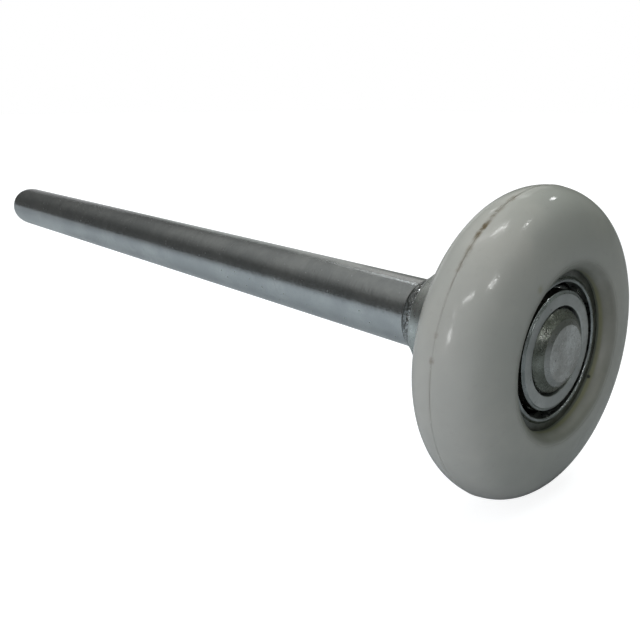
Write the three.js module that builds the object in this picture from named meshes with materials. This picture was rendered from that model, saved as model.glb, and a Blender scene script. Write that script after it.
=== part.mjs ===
import * as THREE from 'three';

// Door roller: a nylon tyre on a full-complement ball bearing, on a long steel stem.
// Millimetres, +Z up. The wheel's centre is the origin and everything turns about Y.
// The front (peened) end of the stem faces -Y and the plain end points to +Y.

// Tyre: an elliptical tread, then side faces that rise slowly to a crown beside the bore.
// A rounded lip at each mouth of the bore reaches in over the outer race.
const TYRE_RADIUS = 22.2;
const TREAD_CENTRE_RADIUS = 16.4;
const TREAD_HALF_WIDTH = 5.55;
const TREAD_END_ANGLE = Math.PI * 2 / 5;
const TREAD_STEPS = 24;
const CROWN_RADIUS = 12.25;
const CROWN_Y = 6.2;
const FACE_STEPS = 4;
const MOUTH_RADIUS = 11.2;
const MOUTH_ROUND_Y = 4.8;
const MOUTH_STEPS = 4;
const TYRE_BORE_RADIUS = 11.9;

// Balls and the two grooves they run in.
const BALL_COUNT = 10;
const BALL_RADIUS = 2.38;
const BALL_PITCH_RADIUS = 8.35;
const GROOVE_RADIUS = 2.45;
const GROOVE_STEPS = 9;

// Outer race: a ring with a keying rib on the outside and a raised lip at each mouth.
const RACE_FIT_GAP = 0.02;
const RACE_OUTER_RADIUS = TYRE_BORE_RADIUS - RACE_FIT_GAP;
const RACE_CHAMFER = 0.28;
const RACE_FACE_Y = 3.85;
const LIP_FOOT_RADIUS = 10.25;
const LIP_CROWN_RADIUS = 9.75;
const LIP_Y = 4.17;
const LIP_ROUND = 0.17;
const RACE_MOUTH_RADIUS = 9.45;
const RIB_HEIGHT = 0.3;
const RIB_HALF_WIDTH = 0.7;
const RIB_SLOPE = 0.3;

// Inner races: two half rings that meet under the balls, clamped on the stem's spigot.
const SPIGOT_RADIUS = 4.65;
const INNER_BORE_RADIUS = SPIGOT_RADIUS + RACE_FIT_GAP;
const SPLIT_HALF_GAP = 0.05;
const FLANGE_RADIUS = 8.4;
const FLANGE_FACE_Y = -4.36;
const FLANGE_BEVEL = 0.22;
const RECESS_MOUTH_RADIUS = 6.32;
const RECESS_FLOOR_RADIUS = 6.14;
const RECESS_FLOOR_Y = -3.4;

// Collar: the rear inner race runs on as a sleeve that tapers down to the stem.
const COLLAR_RADIUS = 8.3;
const COLLAR_TAPER_Y = 14.2;
const COLLAR_END_Y = 15.9;
const COLLAR_END_RADIUS = 7.15;
const COLLAR_END_ROUND = 0.25;

// Stem: peened head, spigot, staked bead, shank and bevelled tip.
const SHANK_RADIUS = 5.55;
const HEAD_RADIUS = 5.95;
const HEAD_RIM_Y = -4.15;
const HEAD_STEP_RADIUS = 4.77;
const HEAD_STEP_Y = -5.1;
const END_FACE_RADIUS = 3.92;
const END_FACE_Y = -5.49;
const BEAD_RADIUS = 6.8;
const BEAD_RIM_LENGTH = 0.5;
const BEAD_LENGTH = 3.1;
const TIP_Y = 182.8;
const TIP_FACE_RADIUS = 4.3;
const TIP_NOSE_LENGTH = 3.2;
const TIP_NOSE_STEPS = 5;

// Smoothness of the turned parts and the balls.
const TURN_SEGMENTS = 64;
const BALL_SEGMENTS = 20;
const BALL_RINGS = 12;

const nylon = { color: 0xd9d6c9, roughness: 0.28, metalness: 0.0 };
const zincPlate = { color: 0xaab0b3, roughness: 0.35, metalness: 0.9 };
const raceSteel = { color: 0x767a7b, roughness: 0.4, metalness: 0.9 };
const ballSteel = { color: 0xc8ccce, roughness: 0.12, metalness: 1.0 };

const group = new THREE.Group();
group.name = 'door_roller';

function addPiece(name, geometry, look) {
  const mesh = new THREE.Mesh(geometry, new THREE.MeshStandardMaterial(look));
  mesh.name = name;
  group.add(mesh);
  return mesh;
}

// Turns a profile of [radius, y] pairs about Y. Profiles run anticlockwise.
function turned(profile, closes) {
  const points = profile.map(([radius, y]) => new THREE.Vector2(radius, y));
  if (closes) {
    points.push(points[0].clone());
  }
  return new THREE.LatheGeometry(points, TURN_SEGMENTS);
}

// Mirrors a profile front to back, keeping it anticlockwise.
function mirrored(profile) {
  return profile.map(([radius, y]) => [radius, -y]).reverse();
}

// Points of the ball groove's section between two angles, measured at the ball's centre.
function grooveArc(fromAngle, toAngle) {
  const points = [];
  for (let i = 0; i <= GROOVE_STEPS; i += 1) {
    const angle = fromAngle + ((toAngle - fromAngle) * i) / GROOVE_STEPS;
    const radius = BALL_PITCH_RADIUS + GROOVE_RADIUS * Math.cos(angle);
    points.push([radius, GROOVE_RADIUS * Math.sin(angle)]);
  }
  return points;
}

// The keying rib's profile, front to back, on a surface of the given radius.
function ribProfile(radius) {
  const front = [
    [radius, -RIB_HALF_WIDTH - RIB_SLOPE],
    [radius + RIB_HEIGHT, -RIB_HALF_WIDTH],
  ];
  return [...front, ...mirrored(front)];
}

// The tyre's front half, from the bore out to the tread's edge.
function tyreFaceProfile() {
  const profile = [
    [TYRE_BORE_RADIUS, -RACE_FACE_Y + RACE_CHAMFER],
    [TYRE_BORE_RADIUS - RACE_CHAMFER, -RACE_FACE_Y - RACE_FIT_GAP],
    [MOUTH_RADIUS, -RACE_FACE_Y - RACE_FIT_GAP],
  ];
  for (let i = 0; i < MOUTH_STEPS; i += 1) {
    const turn = (Math.PI / 2) * (i / MOUTH_STEPS);
    profile.push([
      CROWN_RADIUS - (CROWN_RADIUS - MOUTH_RADIUS) * Math.cos(turn),
      -MOUTH_ROUND_Y - (CROWN_Y - MOUTH_ROUND_Y) * Math.sin(turn),
    ]);
  }
  const [edgeRadius, edgeY] = treadPoint(-TREAD_END_ANGLE);
  for (let i = 0; i < FACE_STEPS; i += 1) {
    const t = i / FACE_STEPS;
    profile.push([
      CROWN_RADIUS + (edgeRadius - CROWN_RADIUS) * t,
      -CROWN_Y + (edgeY + CROWN_Y) * t * t,
    ]);
  }
  return profile;
}

// A point of the tread's elliptical section, at an angle from the widest radius.
function treadPoint(angle) {
  const height = TYRE_RADIUS - TREAD_CENTRE_RADIUS;
  return [
    TREAD_CENTRE_RADIUS + height * Math.cos(angle),
    TREAD_HALF_WIDTH * Math.sin(angle),
  ];
}

function tyreGeometry() {
  const tread = [];
  for (let i = 0; i <= TREAD_STEPS; i += 1) {
    tread.push(treadPoint(TREAD_END_ANGLE * ((2 * i) / TREAD_STEPS - 1)));
  }
  const face = tyreFaceProfile();
  const rib = ribProfile(TYRE_BORE_RADIUS).reverse();
  return turned([...face, ...tread, ...mirrored(face), ...rib], true);
}

function outerRaceGeometry() {
  const mouthAngle = Math.acos((RACE_MOUTH_RADIUS - BALL_PITCH_RADIUS) / GROOVE_RADIUS);
  const frontFace = [
    [RACE_MOUTH_RADIUS, -LIP_Y + LIP_ROUND],
    [LIP_CROWN_RADIUS - LIP_ROUND, -LIP_Y],
    [LIP_CROWN_RADIUS + LIP_ROUND, -LIP_Y],
    [LIP_FOOT_RADIUS, -RACE_FACE_Y],
    [RACE_OUTER_RADIUS - RACE_CHAMFER, -RACE_FACE_Y],
    [RACE_OUTER_RADIUS, -RACE_FACE_Y + RACE_CHAMFER],
  ];
  return turned([
    ...frontFace,
    ...ribProfile(RACE_OUTER_RADIUS),
    ...mirrored(frontFace),
    ...grooveArc(mouthAngle, -mouthAngle),
  ], true);
}

// Angles at which the inner grooves leave the split plane and reach the shoulders.
const splitAngle = Math.PI - Math.asin(SPLIT_HALF_GAP / GROOVE_RADIUS);
const flangeAngle = Math.acos((FLANGE_RADIUS - BALL_PITCH_RADIUS) / GROOVE_RADIUS);
const collarAngle = Math.acos((COLLAR_RADIUS - BALL_PITCH_RADIUS) / GROOVE_RADIUS);

function frontInnerRaceGeometry() {
  return turned([
    [INNER_BORE_RADIUS, RECESS_FLOOR_Y],
    [RECESS_FLOOR_RADIUS, RECESS_FLOOR_Y],
    [RECESS_MOUTH_RADIUS, FLANGE_FACE_Y],
    [FLANGE_RADIUS - FLANGE_BEVEL, FLANGE_FACE_Y],
    [FLANGE_RADIUS, FLANGE_FACE_Y + FLANGE_BEVEL],
    ...grooveArc(-flangeAngle, -splitAngle),
    [INNER_BORE_RADIUS, -SPLIT_HALF_GAP],
  ], true);
}

function rearInnerRaceGeometry() {
  return turned([
    [INNER_BORE_RADIUS, SPLIT_HALF_GAP],
    ...grooveArc(splitAngle, collarAngle),
    [COLLAR_RADIUS, COLLAR_TAPER_Y],
    [COLLAR_END_RADIUS, COLLAR_END_Y - COLLAR_END_ROUND],
    [COLLAR_END_RADIUS - COLLAR_END_ROUND, COLLAR_END_Y],
    [INNER_BORE_RADIUS, COLLAR_END_Y],
  ], true);
}

function stemGeometry() {
  const beadY = COLLAR_END_Y + RACE_FIT_GAP;
  const profile = [
    [0, END_FACE_Y],
    [END_FACE_RADIUS, END_FACE_Y],
    [HEAD_STEP_RADIUS, HEAD_STEP_Y],
    [HEAD_RADIUS, HEAD_RIM_Y],
    [HEAD_RADIUS, RECESS_FLOOR_Y - RACE_FIT_GAP],
    [SPIGOT_RADIUS, RECESS_FLOOR_Y - RACE_FIT_GAP],
    [SPIGOT_RADIUS, beadY],
    [BEAD_RADIUS, beadY],
    [BEAD_RADIUS, beadY + BEAD_RIM_LENGTH],
    [SHANK_RADIUS, beadY + BEAD_LENGTH],
  ];
  for (let i = 0; i <= TIP_NOSE_STEPS; i += 1) {
    const turn = (Math.PI / 2) * (i / TIP_NOSE_STEPS);
    profile.push([
      TIP_FACE_RADIUS + (SHANK_RADIUS - TIP_FACE_RADIUS) * Math.cos(turn),
      TIP_Y - TIP_NOSE_LENGTH * (1 - Math.sin(turn)),
    ]);
  }
  profile.push([0, TIP_Y]);
  return turned(profile, false);
}

addPiece('stem', stemGeometry(), zincPlate);
addPiece('rear_inner_race', rearInnerRaceGeometry(), zincPlate);
addPiece('front_inner_race', frontInnerRaceGeometry(), zincPlate);
addPiece('outer_race', outerRaceGeometry(), raceSteel);
addPiece('nylon_tyre', tyreGeometry(), nylon);

// The first ball sits at the top and the rest follow at equal steps.
for (let i = 0; i < BALL_COUNT; i += 1) {
  const angle = (2 * Math.PI * i) / BALL_COUNT;
  const geometry = new THREE.SphereGeometry(BALL_RADIUS, BALL_SEGMENTS, BALL_RINGS);
  const number = String(i + 1).padStart(2, '0');
  const ball = addPiece(`ball_${number}`, geometry, ballSteel);
  ball.position.set(
    BALL_PITCH_RADIUS * Math.sin(angle),
    0,
    BALL_PITCH_RADIUS * Math.cos(angle),
  );
}

export default group;
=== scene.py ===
import math

import bmesh
import bpy
from mathutils import Matrix, Vector, noise


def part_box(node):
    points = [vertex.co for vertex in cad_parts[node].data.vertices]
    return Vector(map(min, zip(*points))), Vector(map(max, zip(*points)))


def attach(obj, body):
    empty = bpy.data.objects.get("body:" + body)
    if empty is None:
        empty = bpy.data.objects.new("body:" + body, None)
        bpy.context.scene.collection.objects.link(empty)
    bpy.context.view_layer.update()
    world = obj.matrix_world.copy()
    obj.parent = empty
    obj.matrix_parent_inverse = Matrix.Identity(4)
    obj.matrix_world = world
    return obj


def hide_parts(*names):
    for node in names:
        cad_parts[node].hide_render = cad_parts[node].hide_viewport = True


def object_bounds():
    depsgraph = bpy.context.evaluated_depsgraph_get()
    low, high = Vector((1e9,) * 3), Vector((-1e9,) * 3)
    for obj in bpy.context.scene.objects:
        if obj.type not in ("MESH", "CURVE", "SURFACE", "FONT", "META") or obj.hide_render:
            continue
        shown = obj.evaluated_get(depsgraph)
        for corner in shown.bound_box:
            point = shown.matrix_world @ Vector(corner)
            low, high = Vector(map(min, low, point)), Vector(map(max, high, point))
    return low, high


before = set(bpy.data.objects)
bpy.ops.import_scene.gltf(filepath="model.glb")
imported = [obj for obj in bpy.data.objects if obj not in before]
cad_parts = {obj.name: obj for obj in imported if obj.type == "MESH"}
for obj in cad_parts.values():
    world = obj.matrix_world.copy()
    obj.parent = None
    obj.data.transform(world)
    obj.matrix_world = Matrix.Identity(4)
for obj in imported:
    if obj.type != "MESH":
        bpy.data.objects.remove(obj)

CAD_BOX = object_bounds()
MM = 0.001

# Sizes in millimetres, as in the CAD model. The wheel spins about Y, its centre is the origin.
TYRE_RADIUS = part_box("nylon_tyre")[1].x / MM
CROWN_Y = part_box("nylon_tyre")[1].y / MM
TREAD_CENTRE_RADIUS = 16.4
TREAD_HALF_WIDTH = 5.55
TREAD_END_ANGLE = math.radians(72)
CROWN_RADIUS = 12.6
MOUTH_RADIUS = 11.2
MOUTH_ROUND_Y = 4.65
TYRE_BORE_RADIUS = 11.9
SEAM_Y = -0.32
# Dirt along the seam: degrees round the tyre from its top, reach in mm, strength.
SEAM_STAINS = (
    (-19, 2.0, 0.5),
    (-28, 2.4, 0.6),
    (-37, 2.6, 1.0),
    (-46, 1.6, 0.4),
    (-52, 1.4, 0.35),
    (-75, 0.6, 0.4),
    (-83, 0.7, 0.45),
)
FACE_SCUFF = (-8.8, -6.1, 10.4)
BORE_NICK = (9.45, -4.25, -6.0)
# Where the tyre's dirt and painted shade fade out: radii on the slope into the bore, which is
# darkened with painted shade, and on the bore's wall, distances from the middle plane for the
# yellowed edge and the greasy foot with painted shade, and the tread.
SLOPE_RADII = (11.8, 13.4)
WALL_RADII = (11.8, 12.0)
STAIN_HEIGHTS = (4.5, 5.0)
FOOT_HEIGHTS = (4.25, 4.45)
TREAD_RADII = (21.2, 21.7)
RACE_RADIUS = 11.88
RACE_CHAMFER = 0.28
RACE_FACE_Y = 3.85
LIP_Y = 4.17
RACE_MOUTH_RADIUS = 9.45
BALL_PITCH_RADIUS = 8.35
BALL_RADIUS = 2.38
GROOVE_RADIUS = 2.45
BALL_COUNT = 10
# Grease packed between the balls: radius of its bead, half its height and half its depth.
GREASE_RADIUS = 8.7
GREASE_HEIGHT = 1.15
GREASE_DEPTH = 0.75
SPIGOT_RADIUS = 4.65
INNER_BORE_RADIUS = 4.67
FLANGE_RADIUS = 8.4
COLLAR_RADIUS = 8.3
FLANGE_FACE_Y = -4.36
FLANGE_RIM_RADIUS = 7.95
FLANGE_RECESS_Y = -3.4
COLLAR_END_Y = 15.9
SHANK_RADIUS = 5.55
SHANK_START_Y = 20.0
BEAD_END_Y = 18.4
TIP_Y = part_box("stem")[1].y / MM
# The peened head: its flat end face, the cone round that, and the bulge in the flange's recess.
END_FACE_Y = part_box("stem")[0].y / MM
END_FACE_RADIUS = 3.92
CONE_RADIUS = 4.77
HEAD_RADIUS = 5.95
HEAD_BACK_Y = -3.42

# How finely the surfaces of revolution are cut.
TYRE_SEGMENTS = 224
RACE_SEGMENTS = 192
STEM_SEGMENTS = 160
BALL_SEGMENTS = 48
BALL_RINGS = 32
MOUTH_STEPS = 24
FACE_STEPS = 40
TREAD_STEPS = 90
SEAM_STEP = 0.008
SKIN_PASSES = 30


# ---------------------------------------------------------------- mesh making


def rounded(profile, steps=4):
    """Turns (radius, y, corner) entries into points, each corner cut to an arc."""
    points = []
    count = len(profile)
    for i, (radius, y, corner) in enumerate(profile):
        here = Vector((radius, y))
        if corner <= 0:
            points.append(here)
            continue
        before = Vector(profile[i - 1][:2]) - here
        after = Vector(profile[(i + 1) % count][:2]) - here
        reach = min(corner, before.length * 0.49, after.length * 0.49)
        start = here + before.normalized() * reach
        end = here + after.normalized() * reach
        for k in range(steps + 1):
            t = k / steps
            points.append((1 - t) ** 2 * start + 2 * t * (1 - t) * here + t * t * end)
    return [(p.x, p.y) for p in points]


def subdivided(points, longest):
    """Adds points so that no step along an open profile is longer than this."""
    result = [points[0]]
    for (r0, y0), (r1, y1) in zip(points, points[1:]):
        parts = max(1, math.ceil(math.hypot(r1 - r0, y1 - y0) / longest))
        for k in range(1, parts + 1):
            t = k / parts
            result.append((r0 + (r1 - r0) * t, y0 + (y1 - y0) * t))
    return result


def turned_rings(points, segments, shift, centre):
    """The vertices of a surface of revolution, and each ring's vertex numbers."""
    verts = []
    rings = []
    for radius, y in points:
        if radius < 1e-6:
            rings.append([len(verts)])
            verts.append((centre[0] * MM, y * MM, centre[1] * MM))
            continue
        ring = []
        for k in range(segments):
            angle = 2 * math.pi * k / segments
            r, v = (radius, y) if shift is None else shift(radius, y, angle)
            ring.append(len(verts))
            x = centre[0] + r * math.sin(angle)
            z = centre[1] + r * math.cos(angle)
            verts.append((x * MM, v * MM, z * MM))
        rings.append(ring)
    return verts, rings


def band(lower, upper, segments):
    """The faces between two rings. A ring of one vertex is a pole."""
    faces = []
    for k in range(segments):
        n = (k + 1) % segments
        if len(lower) == 1:
            faces.append((lower[0], upper[n], upper[k]))
        elif len(upper) == 1:
            faces.append((lower[k], lower[n], upper[0]))
        else:
            faces.append((lower[k], lower[n], upper[n], upper[k]))
    return faces


def turned(name, points, segments, closed=True, shift=None, paint=None, centre=(0, 0)):
    """A surface of revolution about Y. shift moves a point, paint picks a face's material."""
    verts, rings = turned_rings(points, segments, shift, centre)
    faces = []
    marks = []
    pairs = list(zip(range(len(rings)), range(1, len(rings))))
    if closed:
        pairs.append((len(rings) - 1, 0))
    for a, b in pairs:
        mark = 0
        if paint is not None:
            middle_r = (points[a][0] + points[b][0]) / 2
            mark = paint(middle_r, (points[a][1] + points[b][1]) / 2)
        added = band(rings[a], rings[b], segments)
        faces += added
        marks += [mark] * len(added)
    mesh = bpy.data.meshes.new(name)
    mesh.from_pydata(verts, [], faces)
    mesh.polygons.foreach_set("material_index", marks)
    mesh.shade_smooth()
    mesh.set_sharp_from_angle(angle=math.radians(38))
    mesh.update()
    piece = bpy.data.objects.new(name, mesh)
    bpy.context.scene.collection.objects.link(piece)
    return piece


def finish_piece(piece, body, node, materials):
    for material in materials:
        piece.data.materials.append(material)
    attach(piece, body)
    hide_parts(node)
    return piece


def ripple(point, size):
    """Smooth noise between -1 and 1 with features of about this many millimetres."""
    return noise.noise(Vector(point) / size)


# ---------------------------------------------------------------- materials


class Nodes:
    """A node tree under construction: short calls for the nodes used here."""

    def __init__(self, tree):
        self.nodes = tree.nodes
        self.links = tree.links

    def plug(self, socket, value):
        if isinstance(value, bpy.types.NodeSocket):
            self.links.new(value, socket)
        elif value is not None:
            socket.default_value = value

    def math(self, operation, first, second=None, clamp=False):
        node = self.nodes.new("ShaderNodeMath")
        node.operation = operation
        node.use_clamp = clamp
        for socket, value in zip(node.inputs, (first, second)):
            self.plug(socket, value)
        return node.outputs[0]

    def product(self, first, second):
        return self.math("MULTIPLY", first, second)

    def vector(self, operation, first, second=None):
        node = self.nodes.new("ShaderNodeVectorMath")
        node.operation = operation
        self.plug(node.inputs[0], first)
        self.plug(node.inputs[1], second)
        return node.outputs

    def ranged(self, value, low, high, to_low=0.0, to_high=1.0):
        """A smooth step between two values."""
        node = self.nodes.new("ShaderNodeMapRange")
        node.interpolation_type = "SMOOTHSTEP"
        for socket, number in zip(node.inputs, (value, low, high, to_low, to_high)):
            self.plug(socket, number)
        return node.outputs[0]

    def mix(self, factor, first, second):
        node = self.nodes.new("ShaderNodeMix")
        node.data_type = "RGBA"
        self.plug(node.inputs["Factor"], factor)
        for socket, value in ((node.inputs[6], first), (node.inputs[7], second)):
            if isinstance(value, tuple):
                value = (*value, 1.0)
            self.plug(socket, value)
        return node.outputs[2]


class Shader(Nodes):
    """A material under construction. Its textures and masks are fixed to the object."""

    def __init__(self, name):
        self.material = bpy.data.materials.new(name)
        self.material.use_nodes = True
        super().__init__(self.material.node_tree)
        self.surface = self.nodes["Principled BSDF"]
        self.place = self.nodes.new("ShaderNodeTexCoord").outputs["Object"]

    def stretched(self, scale):
        node = self.nodes.new("ShaderNodeMapping")
        self.plug(node.inputs["Vector"], self.place)
        node.inputs["Scale"].default_value = scale
        return node.outputs[0]

    def noise(self, scale, detail=3.0, rough=0.5, stretch=(1, 1, 1)):
        node = self.nodes.new("ShaderNodeTexNoise")
        self.plug(node.inputs["Vector"], self.stretched(stretch))
        node.inputs["Scale"].default_value = scale
        node.inputs["Detail"].default_value = detail
        node.inputs["Roughness"].default_value = rough
        return node.outputs["Fac"]

    def spots(self, scale):
        node = self.nodes.new("ShaderNodeTexVoronoi")
        self.plug(node.inputs["Vector"], self.place)
        node.inputs["Scale"].default_value = scale
        return node.outputs["Distance"]

    def distance_from(self, axis):
        """Distance from an axis through the origin, in metres."""
        flat = self.vector("MULTIPLY", self.place, [float(name != axis) for name in "XYZ"])
        return self.vector("LENGTH", flat[0])["Value"]

    def axis(self, name):
        node = self.nodes.new("ShaderNodeSeparateXYZ")
        self.links.new(self.place, node.inputs[0])
        return node.outputs[name]

    def within(self, value, limits):
        """1 below the first of two limits in millimetres, 0 above the second."""
        return self.ranged(value, limits[0] * MM, limits[1] * MM, 1.0, 0.0)

    def patch(self, centre, inner, outer):
        """1 near a point given in millimetres, falling to 0 at the outer distance."""
        away = self.vector("DISTANCE", self.place, [c * MM for c in centre])["Value"]
        return self.within(away, (inner, outer))

    def bump(self, height, strength, distance):
        node = self.nodes.new("ShaderNodeBump")
        node.inputs["Strength"].default_value = strength
        node.inputs["Distance"].default_value = distance
        self.links.new(height, node.inputs["Height"])
        self.links.new(node.outputs[0], self.surface.inputs["Normal"])

    def finish(self, colour, roughness, **fixed):
        self.plug(self.surface.inputs["Base Color"], colour)
        self.plug(self.surface.inputs["Roughness"], roughness)
        for name, value in fixed.items():
            self.surface.inputs[name].default_value = value
        return self.material


def shade_and_soil_bore(s, colour, slope, patchy):
    """Painted shade darkens the slope into the bore, which handling has also dulled, and oil has
    yellowed its edge.
    """
    height = s.math("ABSOLUTE", s.axis("Y"))
    wall = s.within(s.distance_from("Y"), WALL_RADII)
    # Painted shade: darkens the slope into the bore.
    colour = s.mix(s.product(slope, 0.95), colour, (0.17, 0.175, 0.15))
    stain = s.product(s.product(s.within(height, STAIN_HEIGHTS), patchy), wall)
    colour = s.mix(s.product(stain, 0.8), colour, (0.18, 0.185, 0.10))
    # Painted shade and grease blacken the foot of the wall, where the nylon grips the race.
    wavy = s.math("ADD", height, s.product(s.noise(330, 3), 0.0003))
    foot = s.product(s.within(wavy, FOOT_HEIGHTS), wall)
    colour = s.mix(s.product(foot, 0.9), colour, (0.085, 0.095, 0.08))
    colour = s.mix(s.patch(BORE_NICK, 0.15, 0.4), colour, (0.02, 0.022, 0.02))
    scuff = s.product(s.patch(FACE_SCUFF, 0.1, 0.9), 0.35)
    return s.mix(scuff, colour, (0.2, 0.2, 0.08))


def soil_seam(s, colour, seam, offset):
    """Dirt sits in the mould's parting line, most of it on one side of the wheel."""
    dirt = s.product(seam, s.ranged(s.axis("Z"), -0.015, 0.012, 0.22, 0.55))
    colour = s.mix(dirt, colour, (0.15, 0.14, 0.11))
    smear = s.math("SUBTRACT", offset, s.product(s.noise(700, 3), 0.0005))
    smear = s.ranged(smear, -0.0001, 0.0003, 1.0, 0.0)
    smear = s.product(smear, s.ranged(s.noise(1100, 3), 0.35, 0.6, 0.3, 1.0))
    for degrees, reach, strength in SEAM_STAINS:
        turn = math.radians(degrees)
        middle = (TYRE_RADIUS * math.sin(turn), SEAM_Y, TYRE_RADIUS * math.cos(turn))
        stained = s.product(s.patch(middle, 0.2 * reach, reach), strength)
        colour = s.mix(s.product(stained, smear), colour, (0.13, 0.10, 0.055))
    return colour


def nylon():
    s = Shader("moulded_nylon")
    clouds = s.noise(70, 4, 0.55)
    fine = s.noise(900, 3, 0.6)
    patchy = s.ranged(s.noise(160, 3), 0.3, 0.65, 0.75, 1.0)
    slope = s.product(s.within(s.distance_from("Y"), SLOPE_RADII), patchy)
    offset = s.math("ABSOLUTE", s.math("ADD", s.axis("Y"), -SEAM_Y * MM))
    tread = s.ranged(s.distance_from("Y"), TREAD_RADII[0] * MM, TREAD_RADII[1] * MM)
    seam = s.product(s.within(offset, (0.04, 0.22)), tread)
    seam = s.product(seam, s.ranged(s.noise(220, 3), 0.35, 0.62, 0.15, 0.8))
    scratch = s.ranged(s.noise(350, 5, 0.7, (1.0, 6.0, 1.0)), 0.62, 0.72)

    colour = s.mix(s.ranged(clouds, 0.35, 0.7), (0.37, 0.38, 0.36), (0.43, 0.43, 0.405))
    colour = s.mix(s.ranged(fine, 0.55, 0.85, 0, 0.25), colour, (0.30, 0.30, 0.28))
    colour = shade_and_soil_bore(s, colour, slope, patchy)
    colour = soil_seam(s, colour, seam, offset)

    roughness = s.ranged(clouds, 0.3, 0.75, 0.10, 0.20)
    for mask, amount in ((scratch, 0.12), (seam, 0.4), (slope, 0.35)):
        roughness = s.math("ADD", roughness, s.product(mask, amount), clamp=True)
    relief = s.math("ADD", s.product(fine, 0.35), s.noise(230, 2))
    relief = s.math("SUBTRACT", relief, s.product(scratch, 0.25))
    s.bump(relief, 0.12, 0.00025)
    return s.finish(colour, roughness, IOR=1.5)


def zinc(name, light, dark, rough, mottled=0.4, relief=0.14, grain=1300, streaks=1.0, hatch=0.0):
    """Bright zinc plate. streaks is how far its drawing lines run along Y, hatch how
    strongly fine turning marks break up the reflections."""
    s = Shader(name)
    lines = s.noise(2600, 4, 0.6, (1, streaks, 1))
    mottle = s.noise(grain, 4, 0.65)
    pits = s.ranged(s.spots(grain * 0.55), 0.06, 0.16, 1.0, 0.0)
    pits = s.product(pits, s.ranged(s.noise(400, 2), 0.5, 0.62))
    trace = s.math("ABSOLUTE", s.math("SUBTRACT", s.noise(110, 2, 0.5, (1, 1, 0.4)), 0.5))
    scratch = s.ranged(trace, 0.0, 0.005, 1.0, 0.0)
    scratch = s.product(scratch, s.ranged(s.noise(80, 2), 0.54, 0.6))

    colour = s.mix(s.ranged(s.noise(140, 4, 0.6), 0.35, 0.68), dark, light)
    colour = s.mix(s.ranged(lines, 0.45, 0.75, 0, 0.35), colour, dark)
    colour = s.mix(s.ranged(mottle, 0.5, 0.75, 0, mottled), colour, dark)
    colour = s.mix(s.product(pits, 1.2 * mottled), colour, (0.06, 0.06, 0.055))
    colour = s.mix(s.product(scratch, 0.35), colour, (0.15, 0.15, 0.14))

    roughness = s.ranged(mottle, 0.3, 0.75, rough - 0.12 * mottled, rough + 0.25 * mottled)
    roughness = s.math("ADD", roughness, s.product(pits, 0.7 * mottled))
    height = s.math("ADD", s.product(lines, 0.6), s.product(mottle, mottled))
    dents = s.math("ADD", s.product(pits, mottled), scratch)
    height = s.math("SUBTRACT", height, dents)
    if hatch:
        marks = s.product(s.noise(700, 2, 0.5, (1, 4, 1)), hatch)
        height = s.math("ADD", height, marks)
    s.bump(height, relief, 0.00012)
    return s.finish(colour, roughness, Metallic=1.0)


def staked_zinc(name, light, dark):
    """Plate over the rough staked bead: torn and dark on top, smooth below."""
    s = Shader(name)
    torn = s.ranged(s.noise(1500, 4, 0.7), 0.42, 0.56)
    upper = s.ranged(s.axis("Z"), -0.0045, 0.001, 0.1, 0.85)
    colour = s.mix(s.product(torn, upper), light, dark)
    # Painted shade darkens the corner where the bead meets the shank.
    foot = s.math("SUBTRACT", s.axis("Y"), s.product(s.noise(900, 2), 0.0008))
    foot = s.ranged(foot, 0.0175, 0.0178)
    foot = s.product(foot, s.ranged(s.noise(500, 3), 0.3, 0.6, 0.15, 0.7))
    colour = s.mix(foot, colour, (0.07, 0.07, 0.06))
    s.bump(s.math("ADD", torn, s.noise(2600, 3)), 0.5, 0.00015)
    return s.finish(colour, s.ranged(torn, 0, 1, 0.2, 0.45), Metallic=1.0)


def steel(name, light, dark, rough, bump=0.15, grain=1500):
    """Bare or greasy steel with smears."""
    s = Shader(name)
    smear = s.noise(260, 4, 0.6)
    grains = s.noise(grain, 4, 0.6)
    colour = s.mix(s.ranged(smear, 0.35, 0.65), dark, light)
    colour = s.mix(s.ranged(grains, 0.5, 0.8, 0, 0.5), colour, dark)
    roughness = s.ranged(grains, 0.3, 0.75, rough - 0.08, rough + 0.12)
    s.bump(s.math("ADD", smear, s.product(grains, 0.6)), bump, 0.00015)
    return s.finish(colour, roughness, Metallic=1.0)


def grease():
    s = Shader("dark_grease")
    lumps = s.noise(700, 3, 0.5)
    colour = s.mix(s.ranged(lumps, 0.35, 0.7), (0.012, 0.013, 0.011), (0.035, 0.033, 0.026))
    s.bump(lumps, 0.5, 0.0003)
    return s.finish(colour, s.ranged(lumps, 0.3, 0.7, 0.12, 0.3), IOR=1.48)


# ---------------------------------------------------------------- pieces


def tread_point(angle):
    height = TYRE_RADIUS - TREAD_CENTRE_RADIUS
    return (
        TREAD_CENTRE_RADIUS + height * math.cos(angle),
        TREAD_HALF_WIDTH * math.sin(angle),
    )


def tyre_face():
    """The front half of the tyre's skin, from the foot of its inner wall to the tread."""
    points = [(MOUTH_RADIUS, -RACE_FACE_Y - 0.02 - 0.1 * k) for k in range(9)]
    for i in range(MOUTH_STEPS):
        turn = math.pi / 2 * i / MOUTH_STEPS
        points.append((
            CROWN_RADIUS - (CROWN_RADIUS - MOUTH_RADIUS) * math.cos(turn),
            -MOUTH_ROUND_Y - (CROWN_Y - MOUTH_ROUND_Y) * math.sin(turn),
        ))
    edge_radius, edge_y = tread_point(-TREAD_END_ANGLE)
    for i in range(FACE_STEPS):
        t = i / FACE_STEPS
        points.append((
            CROWN_RADIUS + (edge_radius - CROWN_RADIUS) * t,
            -CROWN_Y + (edge_y + CROWN_Y) * t * t,
        ))
    return points


def normals_of(points):
    """Outward directions along an anticlockwise open profile."""
    result = []
    for i in range(len(points)):
        r0, y0 = points[max(0, i - 1)]
        r1, y1 = points[min(len(points) - 1, i + 1)]
        away = Vector((y1 - y0, r0 - r1)).normalized()
        result.append((away.x, away.y))
    return result


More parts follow.
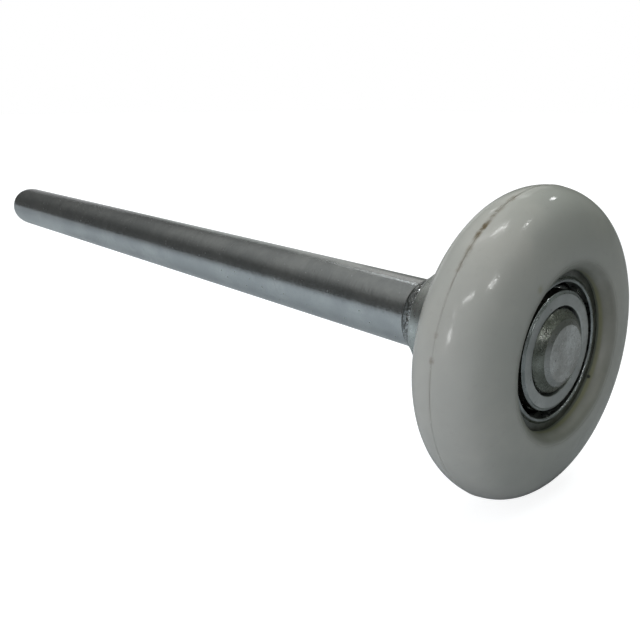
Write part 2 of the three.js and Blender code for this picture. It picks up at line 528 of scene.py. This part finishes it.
def relaxed(points, passes):
    """Eases the bends of an open profile by averaging neighbours."""
    for _ in range(passes):
        inside = [
            ((a[0] + 2 * b[0] + c[0]) / 4, (a[1] + 2 * b[1] + c[1]) / 4)
            for a, b, c in zip(points, points[1:], points[2:])
        ]
        points = [points[0], *inside, points[-1]]
    return points


def make_tyre(material):
    seam = math.asin(SEAM_Y / TREAD_HALF_WIDTH)
    angles = [TREAD_END_ANGLE * (2 * i / TREAD_STEPS - 1) for i in range(TREAD_STEPS + 1)]
    angles += [seam + k * SEAM_STEP for k in range(-9, 10)]
    face = tyre_face()
    skin = face + [tread_point(a) for a in sorted(angles)]
    skin += [(r, -y) for r, y in reversed(face)]
    skin = relaxed(skin, SKIN_PASSES)
    away = dict(zip(skin, normals_of(skin)))
    inner = [
        (TYRE_BORE_RADIUS - RACE_CHAMFER, RACE_FACE_Y + 0.02),
        (TYRE_BORE_RADIUS, RACE_FACE_Y - RACE_CHAMFER),
        (TYRE_BORE_RADIUS, 1.0),
        (TYRE_BORE_RADIUS + 0.3, 0.7),
    ]
    inner += [(r, -y) for r, y in reversed(inner)]

    def shift(radius, y, angle):
        if (radius, y) not in away:
            return radius, y
        out, side = away[(radius, y)]
        x, z = radius * math.sin(angle), radius * math.cos(angle)
        sink = 0.05 + 0.03 * ripple((x, y, z), 7) + 0.01 * ripple((x, y, z), 2)
        off = abs(y - SEAM_Y)
        if radius > TREAD_CENTRE_RADIUS and off < 0.4:
            # A thin flash line stands in a shallow trough where the mould halves met.
            height = 0.035 + 0.02 * ripple((x, 0, z), 3)
            sink += 0.03 * math.exp(-((off / 0.22) ** 2))
            sink -= (height + 0.03) * math.exp(-((off / 0.05) ** 2))
        return radius - sink * out, y - sink * side

    piece = turned("tyre_visual", skin + inner, TYRE_SEGMENTS, shift=shift)
    return finish_piece(piece, "wheel", "nylon_tyre", [material])


def groove(start, end, steps=24):
    """The ball groove's section, between two angles at the ball's centre."""
    points = []
    for i in range(steps + 1):
        angle = start + (end - start) * i / steps
        radius = BALL_PITCH_RADIUS + GROOVE_RADIUS * math.cos(angle)
        points.append((radius, GROOVE_RADIUS * math.sin(angle)))
    return points


def make_outer_race(wall, lip, dark):
    mouth = math.acos((RACE_MOUTH_RADIUS - BALL_PITCH_RADIUS) / GROOVE_RADIUS)
    face = [
        (RACE_MOUTH_RADIUS, -3.98, 0.1),
        (9.58, -LIP_Y, 0.1),
        (9.92, -LIP_Y, 0.15),
        (10.25, -RACE_FACE_Y, 0.15),
        (RACE_RADIUS - RACE_CHAMFER, -RACE_FACE_Y, 0.05),
        (RACE_RADIUS, -RACE_FACE_Y + RACE_CHAMFER, 0.05),
    ]
    rib = [(RACE_RADIUS, -1.0, 0), (12.18, -0.7, 0), (12.18, 0.7, 0), (RACE_RADIUS, 1.0, 0)]
    back = [(r, -y, c) for r, y, c in reversed(face)]
    points = rounded([*face, *rib, *back]) + groove(mouth, -mouth)

    def paint(radius, y):
        if radius < RACE_MOUTH_RADIUS + 0.05 and abs(y) < 2.8:
            return 2
        return 1 if radius < 10.35 and abs(y) > 2.8 else 0

    piece = turned("outer_race_visual", points, RACE_SEGMENTS, paint=paint)
    return finish_piece(piece, "wheel", "outer_race", [wall, lip, dark])


def groove_end(radius):
    return math.acos((radius - BALL_PITCH_RADIUS) / GROOVE_RADIUS)


def split_angle():
    return math.pi - math.asin(0.05 / GROOVE_RADIUS)


def make_front_inner_race(plate, dark, rim):
    points = rounded([
        (INNER_BORE_RADIUS, FLANGE_RECESS_Y, 0),
        (6.14, FLANGE_RECESS_Y, 0.1),
        (6.32, FLANGE_FACE_Y, 0.12),
        (FLANGE_RIM_RADIUS, FLANGE_FACE_Y, 0.06),
        (8.12, -4.22, 0.06),
        (8.32, -4.22, 0.06),
        (FLANGE_RADIUS, -4.12, 0),
    ])
    points += groove(-groove_end(FLANGE_RADIUS), -split_angle())
    points.append((INNER_BORE_RADIUS, -0.05))

    def paint(radius, y):
        # The recess floor takes the dark grease as painted shade in the gap round the head; the
        # ball groove behind it is greasy.
        if y > FLANGE_RECESS_Y - 0.05:
            return 1
        return 2 if radius > FLANGE_RIM_RADIUS else 0

    def shift(radius, y, angle):
        if y > -4.0 or radius < 6.2:
            return radius, y
        x, z = radius * math.sin(angle), radius * math.cos(angle)
        return radius, y + 0.02 + 0.02 * ripple((x, 5, z), 2.5)

    piece = turned("front_inner_race_visual", points, RACE_SEGMENTS, shift=shift, paint=paint)
    materials = [plate, dark, rim]
    return finish_piece(
        piece, "stem_and_inner_races", "front_inner_race", materials
    )


def make_rear_inner_race(plate, dark):
    outside = rounded([
        (COLLAR_RADIUS, 4.0, 0),
        (COLLAR_RADIUS, 12.6, 0.8),
        (8.0, 15.2, 0.5),
        (7.05, COLLAR_END_Y, 0.15),
        (INNER_BORE_RADIUS, COLLAR_END_Y, 0),
        (INNER_BORE_RADIUS, 10.0, 0),
    ], steps=6)
    points = groove(split_angle(), groove_end(COLLAR_RADIUS))
    points += subdivided(outside, 0.7)
    points.append((INNER_BORE_RADIUS, 0.05))

    def paint(radius, y):
        return 1 if y < 3.6 else 0

    def shift(radius, y, angle):
        if y < 15.2 or radius < 6:
            return radius, y
        x, z = radius * math.sin(angle), radius * math.cos(angle)
        dent = 0.08 * max(0, ripple((x, y, z), 0.8))
        return radius - dent, y - 0.5 * dent

    piece = turned("rear_inner_race_visual", points, STEM_SEGMENTS, shift=shift, paint=paint)
    return finish_piece(
        piece, "stem_and_inner_races", "rear_inner_race", [plate, dark]
    )


def stem_profile():
    """From the peened end, through the bearing and over the staked bead, to the tip."""
    front = rounded([
        (0, END_FACE_Y, 0),
        (END_FACE_RADIUS, END_FACE_Y, 0.08),
        (CONE_RADIUS, -5.1, 0.08),
        (HEAD_RADIUS, -4.15, 0.25),
        (HEAD_RADIUS, HEAD_BACK_Y, 0.05),
        (SPIGOT_RADIUS, HEAD_BACK_Y, 0),
        (SPIGOT_RADIUS, 15.92, 0),
        (6.3, 15.94, 0.1),
        (6.75, 16.25, 0.2),
        (6.6, 16.8, 0.3),
        (6.25, 17.6, 0.3),
        (SHANK_RADIUS, BEAD_END_Y, 0.25),
        (SHANK_RADIUS, SHANK_START_Y, 0),
    ])
    points = subdivided(front[:-1], 0.25)
    points += [(SHANK_RADIUS, SHANK_START_Y + 4 * k) for k in range(39)]
    nose = rounded([
        (SHANK_RADIUS, TIP_Y - 6.0, 0),
        (SHANK_RADIUS, TIP_Y - 3.6, 1.5),
        (5.2, TIP_Y - 1.2, 1.1),
        (4.3, TIP_Y, 0.5),
        (0, TIP_Y, 0),
    ], steps=6)
    return points + subdivided(nose, 0.6)


def make_stem(plate, head, face, cone, bead):
    def paint(radius, y):
        if y > HEAD_BACK_Y - 0.08:
            on_bead = COLLAR_END_Y + 0.03 < y < BEAD_END_Y + 0.1 and radius > SPIGOT_RADIUS
            return 4 if on_bead else 0
        if radius > CONE_RADIUS - 0.02:
            return 1
        return 2 if radius < END_FACE_RADIUS + 0.03 else 3

    def shift(radius, y, angle):
        x, z = radius * math.sin(angle), radius * math.cos(angle)
        if 15.9 < y < 19.6 and radius > 5:
            # The staked bead is rough: upset metal with nicks.
            dent = 0.35 * max(0, ripple((x, y, z), 0.9)) + 0.3 * abs(ripple((x, y, z), 0.4))
            fade = min(1, max(0, (BEAD_END_Y - y) / 1.4))
            fade *= 0.35 + 0.65 * max(0, math.cos(angle))
            return max(SHANK_RADIUS - 0.1, radius - dent * fade), y
        if y < -5.2 and radius < 3.8:
            return radius, y + 0.02 * (1 + ripple((x, 1, z), 1.1))
        return radius, y

    points = stem_profile()
    piece = turned("stem_visual", points, STEM_SEGMENTS, closed=False, shift=shift, paint=paint)
    materials = [plate, head, face, cone, bead]
    return finish_piece(piece, "stem_and_inner_races", "stem", materials)


def add_grease(mesh, start, sweep):
    """A lumpy bead of grease from the middle of this ball to the middle of the next one."""
    built = bmesh.new()
    built.from_mesh(mesh)
    around, along = 20, 24
    rings = []
    for i in range(along + 1):
        turn = start + sweep * i / along
        ring = []
        for k in range(around):
            angle = 2 * math.pi * k / around
            lump = 1 + 0.3 * ripple((8 * math.sin(turn), math.sin(angle), 8 * math.cos(turn)), 1.1)
            radius = GREASE_RADIUS + GREASE_HEIGHT * math.cos(angle) * lump
            y = GREASE_DEPTH * math.sin(angle) * lump
            place = Vector((radius * math.sin(turn), y, radius * math.cos(turn)))
            ring.append(built.verts.new(place * MM))
        rings.append(ring)
    added = [built.faces.new(rings[0]), built.faces.new(rings[-1])]
    for lower, upper in zip(rings, rings[1:]):
        for k in range(around):
            n = (k + 1) % around
            added.append(built.faces.new((lower[k], lower[n], upper[n], upper[k])))
    for face in added:
        face.material_index = 1
        face.smooth = True
    bmesh.ops.recalc_face_normals(built, faces=built.faces)
    built.to_mesh(mesh)
    built.free()


def make_ball(number, material, dark):
    node = f"ball_{number:02d}"
    low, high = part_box(node)
    middle = (low + high) / 2 / MM
    points = []
    for i in range(BALL_RINGS + 1):
        angle = math.pi * i / BALL_RINGS
        points.append((BALL_RADIUS * math.sin(angle), -BALL_RADIUS * math.cos(angle)))
    points[0] = (0, -BALL_RADIUS)
    points[-1] = (0, BALL_RADIUS)
    centre = (middle.x, middle.z)
    piece = turned(f"{node}_visual", points, BALL_SEGMENTS, closed=False, centre=centre)
    add_grease(piece.data, math.atan2(middle.x, middle.z), 2 * math.pi / BALL_COUNT)
    return finish_piece(piece, "ball_set", node, [material, dark])


def make_object():
    dark = grease()
    make_stem(
        plate=zinc(
            "zinc_shank", (0.65, 0.68, 0.695), (0.54, 0.57, 0.59), rough=0.22,
            mottled=0.22, relief=0.1, streaks=0.02, hatch=3.4,
        ),
        head=steel(
            "peened_steel", (0.28, 0.295, 0.27), (0.13, 0.14, 0.12), rough=0.3, bump=0.8, grain=2100
        ),
        face=zinc(
            "zinc_end_face", (0.76, 0.78, 0.79), (0.42, 0.42, 0.41), rough=0.34,
            mottled=0.8, relief=0.3, grain=2400,
        ),
        # Painted shade: the cone's zinc is given a darker colour than the end face's.
        cone=zinc("shaded_zinc_cone", (0.46, 0.47, 0.465), (0.32, 0.33, 0.325), rough=0.3),
        bead=staked_zinc("zinc_bead", (0.62, 0.65, 0.66), (0.10, 0.10, 0.09)),
    )
    # Painted light: the collar's zinc is given a brighter colour than the shank's and the plate's.
    collar = zinc("brightened_zinc_collar", (0.86, 0.90, 0.89), (0.48, 0.51, 0.50), rough=0.3)
    plate = zinc("zinc_plate", (0.62, 0.64, 0.64), (0.45, 0.47, 0.47), rough=0.34, grain=1800)
    race = steel("race_steel", (0.26, 0.27, 0.26), (0.15, 0.155, 0.145), rough=0.42)
    lip = steel("race_lip", (0.40, 0.43, 0.43), (0.26, 0.28, 0.28), rough=0.32, bump=0.08)
    ball = steel("ball_steel", (0.4, 0.4, 0.38), (0.1, 0.1, 0.09), rough=0.15, bump=0.1)
    make_rear_inner_race(collar, dark)
    make_front_inner_race(plate, dark, lip)
    make_outer_race(race, lip, dark)
    make_tyre(nylon())
    for number in range(1, BALL_COUNT + 1):
        make_ball(number, ball, dark)


# ---------------------------------------------------------------- studio

LAMP_DISTANCE = 0.7
# Lamps that light the object but stay out of its gloss: azimuth and elevation in degrees,
# distance and size in metres, power in watts, colour.
SOFT_LAMPS = {
    "key": (-98, 1, 0.9, 0.6, 7.1, (1.0, 0.97, 1.0)),
    "top": (0, 88, 1.0, 0.8, 4.4, (0.95, 1.0, 0.95)),
    "right": (65, 50, 1.0, 0.6, 2.0, (0.97, 1.0, 0.97)),
    "back": (-12, 12, 1.0, 0.7, 2.6, (1.0, 1.0, 1.0)),
}
# Tube lamps seen only in the gloss: azimuth and elevation of both ends in degrees, width in
# metres, radiance.
GLINTS = (
    ((96, 40), (101, 42), 0.04, 13),
    ((143, 49), (147, 51), 0.03, 31),
    ((-91, 85.6), (154, 77), 0.028, 22),
    ((-66, 83), (-30, 63), 0.07, 2.2),
    ((-177, 25), (-163, 30), 0.028, 17),
    ((-134, 35), (-109.5, 33.5), 0.026, 13),
    ((-97, 15), (-101, 7), 0.11, 6),
    ((-92.5, 26), (-103, 23), 0.04, 2.5),
    ((53, 45), (70, 51), 0.06, 1.3),
    ((30, 39), (34, 44), 0.03, 3),
)
# The wall behind the wheel: half the height plus a half, and the brightness there.
WALL_STOPS = ((0.0, 0.3), (0.5, 0.08), (0.67, 0.07), (0.75, 0.16), (0.81, 0.27), (0.9, 0.33))
# Bright openings in that wall: azimuth, half width and where it has faded; the elevations
# between which the strength goes from the third number to the fourth; colour.
OPENINGS = (
    ((21, 4, 10), (7, 17, 1.0, 0.0), (0.62, 0.62, 0.62)),
    ((38, 5, 12), (12, 22, 1.0, 0.0), (0.5, 0.52, 0.5)),
    ((53, 8, 19), (14, 26, 0.1, 1.0), (0.58, 0.56, 0.53)),
)
FLOOR_HALF_SIZE = 3.0
FLOOR_GAP = 0.0002
CAMERA_PLACE = (-0.0883, -0.0519, 0.0329)
CAMERA_AIM = (40.22, -13.05)
CAMERA_LENS = 40.96
CAMERA_SHIFT = (0.053, -0.078)


def heading(azimuth, elevation):
    """Unit vector at a compass angle from +Y towards +X, and a height angle."""
    flat = math.cos(math.radians(elevation))
    turn = math.radians(azimuth)
    return Vector((flat * math.sin(turn), flat * math.cos(turn), math.sin(math.radians(elevation))))


def floor_material():
    """Pale, in painted half shade to the right of the wheel and painted shade further out, and
    glowing white to the eye.
    """
    s = Shader("pale_floor")
    across = s.math("SUBTRACT", s.product(s.axis("X"), 0.9), s.product(s.axis("Y"), 0.4))
    away = s.distance_from("Z")
    # Painted shade: darker to the right of the wheel and further from it.
    colour = s.mix(s.ranged(across, -0.035, 0.06), (0.48, 0.512, 0.555), (0.27, 0.28, 0.295))
    colour = s.mix(s.ranged(away, 0.13, 0.33, 0.0, 0.6), colour, (0.2, 0.21, 0.23))
    colour = s.mix(s.product(s.noise(3, 2), 0.1), colour, (0.6, 0.6, 0.6))
    # Painted light: the floor glows to camera rays, more strongly further out.
    paths = s.nodes.new("ShaderNodeLightPath")
    glow = s.product(paths.outputs["Is Camera Ray"], s.ranged(away, 0.15, 0.9, 0.85, 1.1))
    s.surface.inputs["Emission Color"].default_value = (1, 1, 1, 1)
    s.plug(s.surface.inputs["Emission Strength"], glow)
    return s.finish(colour, 0.8)


def make_floor():
    mesh = bpy.data.meshes.new("floor")
    half = FLOOR_HALF_SIZE
    z = CAD_BOX[0].z - FLOOR_GAP
    corners = [(-half, -half, z), (half, -half, z), (half, half, z), (-half, half, z)]
    mesh.from_pydata(corners, [], [(0, 1, 2, 3)])
    mesh.materials.append(floor_material())
    floor = bpy.data.objects.new("floor", mesh)
    bpy.context.scene.collection.objects.link(floor)


def sector(room, level, azimuth, start, end):
    """1 within so many degrees of a heading, 0 beyond the second angle."""
    dot = room.vector("DOT_PRODUCT", level, heading(azimuth, 0))["Value"]
    return room.ranged(dot, math.cos(math.radians(end)), math.cos(math.radians(start)))


def rise(room, height, low, high, first, second):
    """first below one elevation and second above the other."""
    low, high = math.sin(math.radians(low)), math.sin(math.radians(high))
    return room.ranged(height, low, high, first, second)


def back_wall(room, height):
    """The brightness of the wall behind the wheel, by height."""
    ramp = room.nodes.new("ShaderNodeValToRGB")
    room.links.new(room.math("ADD", room.product(height, 0.5), 0.5), ramp.inputs[0])
    elements = ramp.color_ramp.elements
    while len(elements) < len(WALL_STOPS):
        elements.new(0.5)
    for element, (position, value) in zip(elements, WALL_STOPS):
        element.position = position
        element.color = (value, value, 0.95 * value, 1)
    return ramp.outputs[0]


def room_colour(room):
    """A dim wall behind the wheel, a bright left side and a front in between."""
    place = room.nodes.new("ShaderNodeTexCoord").outputs["Generated"]
    split = room.nodes.new("ShaderNodeSeparateXYZ")
    room.links.new(place, split.inputs[0])
    height = split.outputs["Z"]
    level = room.vector("NORMALIZE", room.vector("MULTIPLY", place, (1, 1, 0))[0])[0]
    front = room.mix(rise(room, height, 12, 45, 0.0, 1.0), (0.10, 0.108, 0.095), (0.30, 0.32, 0.29))
    walls = room.mix(sector(room, level, -95, 20, 80), front, (0.20, 0.205, 0.20))
    walls = room.mix(sector(room, level, -25, 50, 72), walls, back_wall(room, height))
    for spread, heights, colour in OPENINGS:
        opening = room.product(sector(room, level, *spread), rise(room, height, *heights))
        walls = room.mix(opening, walls, colour)
    return walls


def make_world():
    """White to the eye. Only reflections and the light on the object see the room."""
    world = bpy.data.worlds.new("studio")
    bpy.context.scene.world = world
    world.use_nodes = True
    world.node_tree.nodes.clear()
    room = Nodes(world.node_tree)
    inside = room.nodes.new("ShaderNodeBackground")
    room.plug(inside.inputs[0], room_colour(room))
    white = room.nodes.new("ShaderNodeBackground")
    white.inputs[0].default_value = (1, 1, 1, 1)
    paths = room.nodes.new("ShaderNodeLightPath")
    either = room.nodes.new("ShaderNodeMixShader")
    room.plug(either.inputs[0], paths.outputs["Is Camera Ray"])
    room.plug(either.inputs[1], inside.outputs[0])
    room.plug(either.inputs[2], white.outputs[0])
    out = room.nodes.new("ShaderNodeOutputWorld")
    room.plug(out.inputs[0], either.outputs[0])


def add_lamp(name, place, size, power, colour, along=None):
    """An area lamp that faces the wheel. With a direction to lie along, it is a tube lamp."""
    light = bpy.data.lights.new(name, "AREA")
    light.shape = "RECTANGLE"
    light.size, light.size_y = size
    light.energy = power
    light.color = colour
    lamp = bpy.data.objects.new(name, light)
    back = place.normalized()
    side = (along if along is not None else Vector((0, 0, 1)).cross(back)).normalized()
    side = (side - back * side.dot(back)).normalized()
    axes = Matrix((side, back.cross(side), back)).transposed()
    lamp.matrix_world = Matrix.Translation(place) @ axes.to_4x4()
    lamp.visible_camera = False
    bpy.context.scene.collection.objects.link(lamp)
    return lamp


def add_soft(name, azimuth, elevation, distance, size, power, colour):
    place = heading(azimuth, elevation) * distance
    add_lamp(name, place, (size, size), power, colour).visible_glossy = False


def add_glint(name, start, end, width, radiance):
    near, far = heading(*start) * LAMP_DISTANCE, heading(*end) * LAMP_DISTANCE
    size = (near - far).length, width
    power = radiance * math.pi * size[0] * size[1]
    add_lamp(name, (near + far) / 2, size, power, (1, 1, 1), far - near).visible_diffuse = False


def make_lights():
    for name, settings in SOFT_LAMPS.items():
        add_soft(name, *settings)
    for i, settings in enumerate(GLINTS):
        add_glint(f"glint_{i}", *settings)


def make_camera():
    data = bpy.data.cameras.new("camera")
    data.sensor_width = 36
    data.lens = CAMERA_LENS
    data.shift_x, data.shift_y = CAMERA_SHIFT
    data.clip_start = 0.005
    camera = bpy.data.objects.new("camera", data)
    camera.location = CAMERA_PLACE
    camera.rotation_euler = heading(*CAMERA_AIM).to_track_quat("-Z", "Y").to_euler()
    bpy.context.scene.collection.objects.link(camera)
    bpy.context.scene.camera = camera


make_object()
make_floor()
make_world()
make_lights()
make_camera()
bpy.context.scene.view_settings.view_transform = "Standard"
